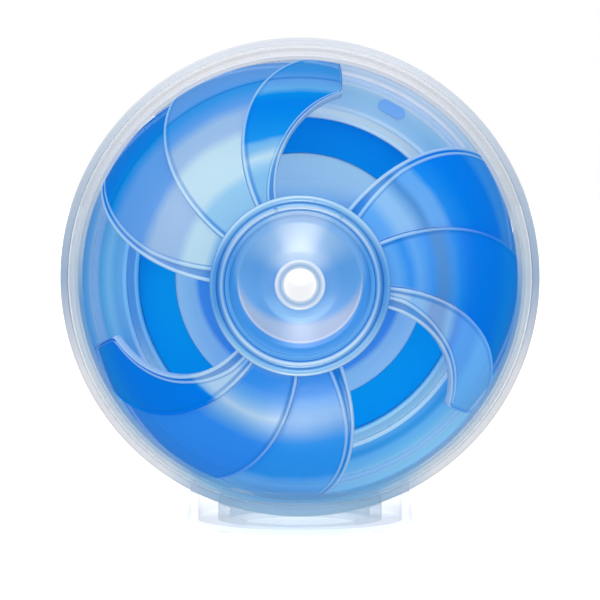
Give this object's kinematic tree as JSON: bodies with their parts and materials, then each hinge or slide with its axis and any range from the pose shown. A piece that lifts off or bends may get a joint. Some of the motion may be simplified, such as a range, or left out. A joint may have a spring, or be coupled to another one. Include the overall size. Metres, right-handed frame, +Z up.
{
  "type": "maze ball puzzle",
  "caption": "Clear ball on a ring stand: a steel marble runs in channels on an inner deck, under wheels of curved blue vanes that turn with dials at the ball's poles.",
  "frame": {"origin": "on the floor, under the centre of the stand", "axes": "+Z up, the ball's axle along Y, its front face towards -Y, and +X to the right as seen from the front"},
  "size_m": [0.14, 0.1286, 0.143],
  "materials": {
    "clear_shell": "polished clear moulding",
    "band": "polished clear moulding, faintly lilac",
    "clear_maze": "polished clear moulding",
    "deck": "translucent pale blue",
    "pale_floor": "pale blue, glossy",
    "blue_track": "saturated blue, glossy",
    "mark": "blue inlay",
    "clear_wheel": "polished clear moulding",
    "dial": "polished clear moulding",
    "dish": "translucent pale blue, glossy",
    "nozzle": "polished clear moulding",
    "vane": "translucent blue, paler towards the hub",
    "steel": "polished steel ball",
    "stand": "frosted clear moulding",
    "pad": "soft translucent blue",
    "feet": "clear soft dots"
  },
  "bodies": {
    "stand": {"stand_ring": "stand", "stand_pad": "pad", "stand_feet": "feet"},
    "case": {"front_shell": "clear_shell", "rear_shell": "clear_shell", "front_band": "band", "rear_band": "band", "race_ring": "clear_maze", "deck": "deck", "front_track": "blue_track", "rear_track": "blue_track", "front_floor": "pale_floor", "rear_floor": "pale_floor", "front_rail": "clear_maze", "rear_rail": "clear_maze", "front_stop": "clear_maze", "rear_stop": "clear_maze", "start_mark": "mark", "front_bush": "clear_maze", "rear_bush": "clear_maze"},
    "rotor": {"axle": "clear_wheel", "front_collar": "clear_wheel", "rear_collar": "clear_wheel", "front_carrier": "clear_wheel", "rear_carrier": "clear_wheel", "front_dial": "dial", "rear_dial": "dial", "front_dish": "dish", "rear_dish": "dish", "front_nozzle": "nozzle", "rear_nozzle": "nozzle", "front_wheel_rim": "clear_wheel", "rear_wheel_rim": "clear_wheel", "front_vane_1": "vane", "front_vane_2": "vane", "front_vane_3": "vane", "front_vane_4": "vane", "front_vane_5": "vane", "front_vane_6": "vane", "front_vane_7": "vane", "front_vane_8": "vane", "front_vane_9": "vane", "rear_vane_1": "vane", "rear_vane_2": "vane", "rear_vane_3": "vane", "rear_vane_4": "vane", "rear_vane_5": "vane", "rear_vane_6": "vane", "rear_vane_7": "vane", "rear_vane_8": "vane", "rear_vane_9": "vane"},
    "marble": {"marble": "steel"}
  },
  "joints": [
    {"name": "ball_lift", "type": "slide", "parent": "stand", "child": "case", "axis": [0, 0, 1], "range_m": [0, 0.09]},
    {"name": "rotor_spin", "type": "hinge", "parent": "case", "child": "rotor", "pos_m": [0, 0, 0.073], "axis": [0, 1, 0], "continuous": true},
    {"name": "marble_roll", "type": "hinge", "parent": "case", "child": "marble", "pos_m": [0, 0, 0.073], "axis": [0, 1, 0], "range_deg": [-168, 180]}
  ]
}
